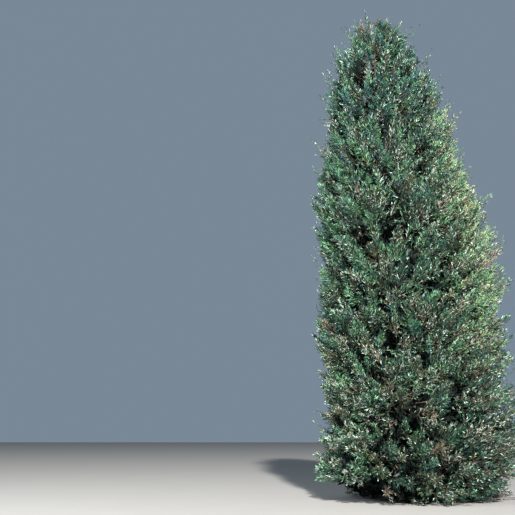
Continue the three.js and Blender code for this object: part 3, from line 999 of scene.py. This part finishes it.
def floor_material(stage):
    """Pale matt floor with a faint mottle, down to 0.93 of its colour."""
    shader = Shader("pale_floor")
    place = shader.node("ShaderNodeTexCoord", None, None, output="Object")
    mottle = shader.noise(place, 0.8)
    pale = (*stage.floor_colour, 1)
    worn = (*(0.93 * c for c in stage.floor_colour), 1)
    return shader.surface_gets(base_color=shader.blend(mottle, pale, worn), roughness=0.9 - mottle * 0.1)


def colour_property(name, description, default):
    """A linear colour that a user can change."""
    return FloatVectorProperty(
        name=name, description=description, default=default, subtype="COLOR", min=0, max=1
    )


def count_property(name, description, default, least):
    """A whole number that a user can change."""
    return IntProperty(name=name, description=description, default=default, min=least)


def length_property(name, description, default):
    """A length in metres that a user can change."""
    return FloatProperty(name=name, description=description, default=default, unit="LENGTH")


def share_property(name, description, default):
    """A share of something that a user can change."""
    return FloatProperty(name=name, description=description, default=default, subtype="FACTOR")


def power_property(name, description, default):
    """The power of a light that a user can change."""
    return FloatProperty(name=name, description=description, default=default, unit="POWER")


class CedarGrowth(bpy.types.PropertyGroup):
    """Sizes and counts of the finer growth."""

    side_twigs: count_property("Side twigs", "Side twigs of each main twig", 14, 4)
    offshoot_twigs: count_property("Offshoot twigs", "Side twigs of each offshoot", 9, 3)
    sprays: count_property("Sprays", "Sprays of each side twig", 5, 3)
    branchlets: count_property("Branchlets", "Branchlets of each spray", 4, 3)
    filling: count_property("Filling", "Coarse dark sprays inside the crown", 10500, 0)
    filling_length: length_property("Filling length", "Length of an inner spray", 0.4)
    plume_width: share_property("Plume width", "Longest side twig, as a share of the plume's length", 0.4)
    spray_length: length_property("Spray length", "Length of a spray at the foot of its twig", 0.148)
    branchlet_width: share_property("Branchlet width", "As a share of the spray's length", 0.103)


class CedarFinish(bpy.types.PropertyGroup):
    """Colours of the bark and of the sprays."""

    bark_crack: colour_property("Bark cracks", "Between the strips", (0.035, 0.02, 0.014))
    bark_fresh: colour_property("Fresh bark", "Sides of the strips", (0.17, 0.085, 0.055))
    bark_grey: colour_property("Grey bark", "Weathered strips", (0.27, 0.23, 0.2))
    twig_dark: colour_property("Dark twig", "Shaded young bark", (0.034, 0.022, 0.017))
    twig_light: colour_property("Light twig", "Scales of young bark", (0.13, 0.09, 0.066))
    # Deep green is near-black: painted shade, dealt most inside the crown, under the plumes and in the
    # darker patches
    deep: colour_property("Deep green", "Sprays inside the crown", (0.005, 0.0175, 0.012))
    # Shade green is older sprays, darkened further as painted shade
    shade: colour_property("Shade green", "Older sprays", (0.0125, 0.038, 0.026))
    mid: colour_property("Mid green", "Most sprays", (0.031, 0.101, 0.05))
    blue: colour_property("Blue green", "Waxy sprays", (0.032, 0.105, 0.096))
    fresh: colour_property("Fresh green", "Young sprays", (0.135, 0.3, 0.145))
    # Pale green is waxy tips and painted highlights, dealt more on the plumes' upper sides
    pale: colour_property("Pale green", "Waxy tips", (0.425, 0.54, 0.45))
    # Yellow green is painted sunlight, dealt mostly on the broad flank
    painted_sun_gold: colour_property("Yellow green", "Sunlit flank", (0.31, 0.36, 0.165))
    olive: colour_property("Olive", "Sprays turning brown", (0.075, 0.084, 0.042))
    tan: colour_property("Tan", "Dead sprays", (0.23, 0.18, 0.135))
    # Inner green and inner brown are near-black: painted shade inside the crown, the second partly withered
    # sprays
    inner_painted_shade: colour_property("Inner green", "Shaded sprays deep in the crown", (0.006, 0.012, 0.0105))
    inner_withered_painted_shade: colour_property("Inner brown", "Sprays that wither there", (0.0085, 0.0125, 0.0105))


class CedarStage(bpy.types.PropertyGroup):
    """Light, floor and surroundings."""

    key_power: power_property("Key light", "Power of the key light", 180000)
    key_size: length_property("Key size", "Side of the key light", 2.7)
    side_power: power_property("Side light", "Power of the soft light on the left", 4600)
    fill: FloatProperty(name="Fill", description="Strength of the even light from all round", default=0.31)
    air_colour: colour_property("Surroundings", "Colour of the even light", (0.62, 0.8, 1.0))
    floor_colour: colour_property("Floor", "Colour of the floor", (0.26, 0.25, 0.235))
    floor_size: length_property("Floor size", "Half the side", 90)


def spray_materials(finish):
    """One plain-coloured material for each tone."""
    return [spray_material(f"cedar_spray_{tone}", getattr(finish, tone)) for tone, *_ in TONES]


def filling_materials(finish):
    """The two dull, near-black materials of the inner sprays: withered sprays in part, and painted shade."""
    names = ("inner_painted_shade", "inner_withered_painted_shade")
    return [spray_material(f"cedar_{name}", getattr(finish, name), 0.8, 0.1) for name in names]


def rise_in_plume(sprays, main):
    """How far each spray stands above (to 1) or below (to -1) the line of its plume, 0 on thin shoots.

    It is the height of the spray's place off that line, divided by half the plume's width. It sets the
    painted light and shade: sprays above the line are painted lighter, those below darker.
    """
    parent = np.minimum(sprays.parent, len(main.tip) - 1)
    along = unit(main.tip - main.bend)[parent]
    off = sprays.root - main.bend[parent]
    off = off - (off * along).sum(axis=1, keepdims=True) * along
    rise = np.clip(off[:, 2] / (PLUME_HALF_WIDTH * main.size[parent]), -1, 1)
    return np.where(sprays.parent < len(main.tip), rise, 0)


def deal_tones(sprays, main, kites, seed):
    """A tone for each branchlet, drawn by weight.

    The weights run from those of the open crown to those low down, at the top, on the sunlit flank, where
    they paint sunlight with light and yellow tones, and inside the crown, where they paint shade with dark
    tones. They are multiplied by chance from plume to plume, by e^(patch * greener) in green patches, and by
    e^(lift * lighter), which paints light and shade. The lift is the rise in the plume, so that a plume's
    upper side is painted lighter and its underside darker, and the painted lighter and darker patches, less
    the painted shade of the broad side low down. Branchlets outside the mixed share take the tone of the
    first one of their spray.
    """
    draws = np.random.default_rng(seed)
    azimuth, r, z = round_axis(sprays.root)
    depth = r / (reach(azimuth, z) + REACH_MARGIN)
    # Painted shade: inside the crown the weights turn to the dark tones
    inside = falling(depth, *INSIDE_DEPTHS)[:, None]
    # Painted sunlight: on the broad flank the weights turn to the flank's light and yellow tones
    band = smoothstep(z, *FLANK["foot"]) * falling(z, *FLANK["head"])
    painted_sunlight = (smoothstep(np.cos(azimuth), *FLANK["side"]) * band * smoothstep(depth, *FLANK["depths"]))[:, None]
    down = falling(z, *LOW_HEIGHTS)[:, None]
    high = smoothstep(z, *TOP_HEIGHTS)[:, None]
    outer, inner, flank, low, top, greener, lighter, variety = np.array([w for _, *w in TONES]).T
    outer = outer * (1 - down) * (1 - high) + low * down + top * high
    weights = outer * (1 - inside) * (1 - painted_sunlight) + inner * inside + flank * (1 - inside) * painted_sunlight
    plumes = draws.lognormal(0, variety, (sprays.parent.max() + 1, len(TONES)))
    patch = slanting_waves(PATCHES, azimuth, z) * math.sqrt(2 * len(PATCHES))
    shade = slanting_waves(SHADES, azimuth, z) * math.sqrt(2 * len(SHADES)) * smoothstep(z, *SHADE_HEIGHTS)
    broad = np.cos(azimuth) * falling(z, *LOW_SHADE_HEIGHTS)
    # Painted light and shade: lighter on a plume's upper side and in the lighter patches, darker below it,
    # in the darker patches and on the broad side near the ground
    lift = rise_in_plume(sprays, main) + SHADE_DEPTH * shade - LOW_SHADE * broad
    shift = PATCH_DEPTH * patch[:, None] * greener + lift[:, None] * lighter
    weights = weights * plumes[sprays.parent] * np.exp(shift)
    limits = (np.cumsum(weights, axis=1) / weights.sum(axis=1, keepdims=True))[:, None]
    tones = (draws.uniform(0, 1, (len(z), kites, 1)) > limits).sum(axis=2)
    mixed = draws.uniform(0, 1, tones.shape) < MIXED_SHARE
    return np.where(mixed, tones, tones[:, :1])


def within_limits(points):
    """True where groups of points, leaned, stay off the ground and near the box of the plain solids."""
    low, high = np.array(CAD_LOW), np.array(CAD_HIGH)
    margin = np.array(LIMIT_SHARE) * (high - low)
    placed = leaned(points)
    inside = (placed > [low[0] - margin[0], low[1] - margin[1], LOWEST]) & (placed < high + margin)
    return inside.all(axis=(-2, -1))


def add_sprays(name, nodes, sprays, tones, templates, materials, seed):
    """Joined kites of these sprays, two triangles each, without those that would pass the limits."""
    corners = spray_corners(sprays, templates, seed)
    clear = within_limits(corners)
    corners, tones = corners[clear], tones[clear]
    first = np.arange(0, corners.shape[0] * corners.shape[1], 4)[:, None]
    triangles = np.stack([first + [0, 1, 2], first + [0, 2, 3]], axis=1).reshape(-1, 3)
    tone = np.repeat(tones.ravel(), 2)
    points = corners.reshape(-1, 3)
    return add_piece(name, nodes, "foliage", points, triangles, materials, tone=tone)


def crown_twigs(growth):
    """Main twigs, thin shoots, and the side twigs of both, without those that end too far out.

    A side twig's parent counts the plumes first, then the offshoots, then the shoots.
    """
    plumes, offshoots, shoots = grow_crown()
    plumes, offshoots, shoots = (set_down(twigs) for twigs in (plumes, offshoots, shoots))
    main = joined([plumes, offshoots])
    shoots = joined([shoots, grow_leaders(main, SEEDS["leaders"])])
    shoots = pick(shoots, within_limits(shoots.tip[:, None]))
    width = growth.plume_width
    side = grow_side_twigs(plumes, growth.side_twigs, width, SIDE, SEEDS["side"])
    finer = grow_side_twigs(offshoots, growth.offshoot_twigs, width, SIDE, SEEDS["offshoot_side"])
    finer.parent += len(plumes.start)
    side = joined([side, finer])
    share = between(*TWIG_REACH, smoothstep(side.tip[:, 2], *TWIG_REACH_HEIGHTS))
    side = pick(side, in_crown(side.tip, share) & within_limits(side.tip[:, None]))
    count, width = SHOOT_TWIGS["count"], SHOOT_TWIGS["width"]
    shoot_side = grow_side_twigs(shoots, count, width, SHOOT_SIDE, SEEDS["shoot_side"])
    shoot_side.parent += len(main.start)
    shoot_side = pick(shoot_side, within_limits(shoot_side.tip[:, None]))
    return main, shoots, side, shoot_side


def grow_filling(count, length, seed):
    """Coarse dark sprays inside each mass, set at random in its cell and pointing outwards and up.

    Their share of the reach is the root of an even draw, so that they fill the cell evenly. In the
    lowest tier the inner ones are lowered towards the ground by chance.
    """
    draws = np.random.default_rng(seed)
    groups = []
    for cell in all_cells():
        number = int(count * FILLING_SHARE[cell.tier] / cell.row["masses"])
        across, up = draws.uniform(-1, 1, number), draws.uniform(*FILLING["up"], number)
        share = draws.uniform(*FILLING["out"], number) ** 0.5
        root = cell.place(across, up, share)
        if cell.tier == 0:
            root[:, 2] *= np.where(share < FOOT_SHARE, draws.uniform(*FILLING_LOWERED, number), 1)
        outward = unit(root * [1, 1, 0] + UP * FILLING["outward_rise"])
        swing = draws.normal(0, FILLING["swing"], (number, 3))
        groups.append(
            SimpleNamespace(
                root=root,
                direction=unit(outward + UP * FILLING["rise"] + swing),
                roll=draws.uniform(0, TURN, number),
                length=length * draws.uniform(*FILLING_SPRAY["length"], number),
            )
        )
    return joined(groups)


class CEDAR_OT_stage(bpy.types.Operator):
    """Add the pale floor, the soft lights and the camera"""

    bl_idname = "cedar.add_stage"
    bl_label = "Stage"

    def execute(self, context):
        stage = context.scene.cedar_stage
        s = stage.floor_size
        corners = np.array([[-s, -s, 0], [s, -s, 0], [s, s, 0], [-s, s, 0]]) - UP * FLOOR_DROP
        floor = add_mesh("floor", corners, np.array([[0, 1, 2], [0, 2, 3]]), [floor_material(stage)])
        floor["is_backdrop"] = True

        world = bpy.data.worlds.new("pale_surroundings")
        world.use_nodes = True
        background = world.node_tree.nodes["Background"]
        background.inputs["Color"].default_value = (*stage.air_colour, 1)
        background.inputs["Strength"].default_value = stage.fill
        context.scene.world = world

        lights = [
            ("key_light", stage.key_power, stage.key_size, KEY_LIGHT),
            ("side_light", stage.side_power, SIDE_LIGHT["size"], SIDE_LIGHT),
        ]
        for name, power, size, kind in lights:
            lamp = bpy.data.lights.new(name, "AREA")
            lamp.energy = power
            lamp.size = size
            lamp.color = kind["colour"]
            light = bpy.data.objects.new(name, lamp)
            light.location = kind["place"]
            towards = Vector(AIM) - Vector(kind["place"])
            light.rotation_euler = towards.to_track_quat("-Z", "Y").to_euler()
            context.scene.collection.objects.link(light)

        camera = bpy.data.cameras.new("camera")
        camera.lens = LENS
        camera.sensor_width = SENSOR_WIDTH
        camera.clip_end = FARTHEST
        eye = bpy.data.objects.new("camera", camera)
        eye.location = EYE
        eye.rotation_euler = (math.radians(90 + TILT), 0, 0)
        context.scene.collection.objects.link(eye)
        context.scene.camera = eye
        context.scene.view_settings.view_transform = "Standard"
        return {"FINISHED"}


class CEDAR_OT_trunk(bpy.types.Operator):
    """Add the trunk with its flare and shredding bark"""

    bl_idname = "cedar.add_trunk"
    bl_label = "Trunk"

    def execute(self, context):
        rings, sides = TRUNK_GRID
        z = TRUNK_TOP * np.linspace(0, 1, rings) ** TRUNK_SPACING
        path = z[None, :, None] * UP
        strips = strip_relief(**TRUNK_BARK)

        def relief(turn, along, radius):
            """The flare fades by e for each of its heights, with lobes as waves round it, and the strips."""
            fade = np.exp(-along / FLARE["height"])
            lobes = (radius + FLARE["width"] * fade) * FLARE["depth"] * fade * np.cos(FLARE["lobes"] * turn)
            thin = np.minimum(radius / FULL_RELIEF_RADIUS, 1)
            return FLARE["width"] * fade + lobes + strips(turn, along, radius) * thin

        points, triangles, limb = tubes(path, trunk_radius(z)[None], sides, relief)
        material = bark_material(context.scene.cedar_finish)
        add_piece("trunk_bark", ["trunk"], "bark", points, triangles, [material], limb=limb, smooth=True)
        return {"FINISHED"}


class CEDAR_OT_boughs(bpy.types.Operator):
    """Add the boughs with their collars and shredding bark"""

    bl_idname = "cedar.add_boughs"
    bl_label = "Boughs"

    def execute(self, context):
        cells = [c for c in all_cells() if "bough_radius" in c.row]
        rows = branches([bough_line(c) for c in cells], [c.tier for c in cells])
        rings, sides = BOUGH_GRID
        t = np.tile(np.linspace(0, 1, rings), (len(cells), 1))
        thick = np.array([c.row["bough_radius"] for c in cells])[:, None]
        collar = 1 + BOUGH_COLLAR["swelling"] * np.exp(-t / BOUGH_COLLAR["length"])
        radii = thick * (1 + (BOUGH_TAPER - 1) * t) * collar
        points, triangles, limb = tubes(bezier(rows, t), radii, sides, strip_relief(**BOUGH_BARK))
        material = bark_material(context.scene.cedar_finish)
        add_piece("bough_bark", bough_nodes(), "bark", points, triangles, [material], limb=limb, smooth=True)
        return {"FINISHED"}


class CEDAR_OT_twigs(bpy.types.Operator):
    """Add the stems of the masses, their main twigs and the side twigs"""

    bl_idname = "cedar.add_twigs"
    bl_label = "Twigs"

    def execute(self, context):
        main, shoots, side, shoot_side = crown_twigs(context.scene.cedar_growth)
        cells = all_cells()
        lines = [stem_line(c) for c in cells]
        stems = branches([(a, (a + b) / 2, b) for a, b in lines], [c.tier for c in cells])
        material = twig_material(context.scene.cedar_finish)
        groups = [stems, main, side, shoots, shoot_side]
        shapes = [STEM_TUBE, MAIN_TUBE, SIDE_TUBE, SHOOT_TUBE, SHOOT_SIDE_TUBE]
        for label, tiers in TWIG_PIECES.items():
            chosen = [pick(group, np.isin(group.tier, tiers)) for group in groups]
            points, triangles = stacked([branch_tubes(part, *shape) for part, shape in zip(chosen, shapes)])
            name, nodes = f"twigs_{label}", mass_nodes(tiers)
            add_piece(name, nodes, "bark", points, triangles, [material], smooth=True)
        return {"FINISHED"}


class CEDAR_OT_sprays(bpy.types.Operator):
    """Add the sprays of scale leaves, tier by tier"""

    bl_idname = "cedar.add_sprays"
    bl_label = "Sprays"

    def execute(self, context):
        growth = context.scene.cedar_growth
        materials = spray_materials(context.scene.cedar_finish)
        templates = spray_templates(growth.branchlets, growth.branchlet_width)
        main, _, side, shoot_side = crown_twigs(growth)
        sprays = grow_sprays(side, growth.sprays, growth.spray_length, SEEDS["sprays"])
        thin = grow_sprays(shoot_side, THIN_SPRAYS["count"], THIN_SPRAYS["length"], SEEDS["thin_sprays"])
        sprays = joined([sprays, thin])
        tones = deal_tones(sprays, main, growth.branchlets + 1, SEEDS["tones"])
        for tier in range(len(TIERS)):
            name = f"sprays_tier_{tier + 1}"
            seed = SEEDS["first_tier"] + tier
            chosen = sprays.tier == tier
            part = pick(sprays, chosen)
            add_sprays(name, mass_nodes([tier]), part, tones[chosen], templates, materials, seed)
        return {"FINISHED"}


class CEDAR_OT_filling(bpy.types.Operator):
    """Add the coarse sprays inside the crown, dark with painted shade"""

    bl_idname = "cedar.add_filling"
    bl_label = "Filling"

    def execute(self, context):
        growth = context.scene.cedar_growth
        materials = filling_materials(context.scene.cedar_finish)
        width = FILLING_SPRAY["wider"] * growth.branchlet_width
        templates = spray_templates(FILLING_SPRAY["branchlets"], width)
        filling = grow_filling(growth.filling, growth.filling_length, SEEDS["filling"])
        tips = filling.root + filling.direction * filling.length[:, None]
        _, r, z = round_axis(tips)
        foot = (r < FOOT_RADIUS) & (z < SKIRT_HEIGHT)
        inside = in_crown(tips, FILLING_REACH) & (z < FILLING_TOP)
        filling = pick(filling, inside | foot)
        draws = np.random.default_rng(SEEDS["filling_tones"])
        tones = draws.integers(0, len(materials), (len(filling.root), templates.shape[1]))
        nodes, seed = mass_nodes(range(len(TIERS))), SEEDS["filling_variants"]
        add_sprays("inner_sprays", nodes, filling, tones, templates, materials, seed)
        return {"FINISHED"}


class CEDAR_PT_panel(bpy.types.Panel):
    """Buttons and settings of the cedar"""

    bl_idname = "CEDAR_PT_panel"
    bl_label = "Eastern Red Cedar"
    bl_space_type = "VIEW_3D"
    bl_region_type = "UI"
    bl_category = "Cedar"

    def draw(self, context):
        for settings in (context.scene.cedar_growth, context.scene.cedar_finish, context.scene.cedar_stage):
            box = self.layout.box()
            for name in type(settings).__annotations__:
                box.prop(settings, name)
        for step in STEPS:
            self.layout.operator(step.bl_idname)


STEPS = [
    CEDAR_OT_stage,
    CEDAR_OT_trunk,
    CEDAR_OT_boughs,
    CEDAR_OT_twigs,
    CEDAR_OT_sprays,
    CEDAR_OT_filling,
]
SETTINGS = {"cedar_growth": CedarGrowth, "cedar_finish": CedarFinish, "cedar_stage": CedarStage}


def register():
    """Register the settings, the operators and the panel."""
    for kind in [*SETTINGS.values(), *STEPS, CEDAR_PT_panel]:
        bpy.utils.register_class(kind)
    for name, kind in SETTINGS.items():
        setattr(bpy.types.Scene, name, PointerProperty(type=kind))


def unregister():
    """Take them out again."""
    for name in SETTINGS:
        delattr(bpy.types.Scene, name)
    for kind in [CEDAR_PT_panel, *STEPS, *SETTINGS.values()]:
        bpy.utils.unregister_class(kind)


def main():
    """Build the cedar and its stage."""
    register()
    bpy.ops.cedar.add_stage()
    bpy.ops.cedar.add_trunk()
    bpy.ops.cedar.add_boughs()
    bpy.ops.cedar.add_twigs()
    bpy.ops.cedar.add_sprays()
    bpy.ops.cedar.add_filling()
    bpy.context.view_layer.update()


if __name__ == "__main__":
    main()
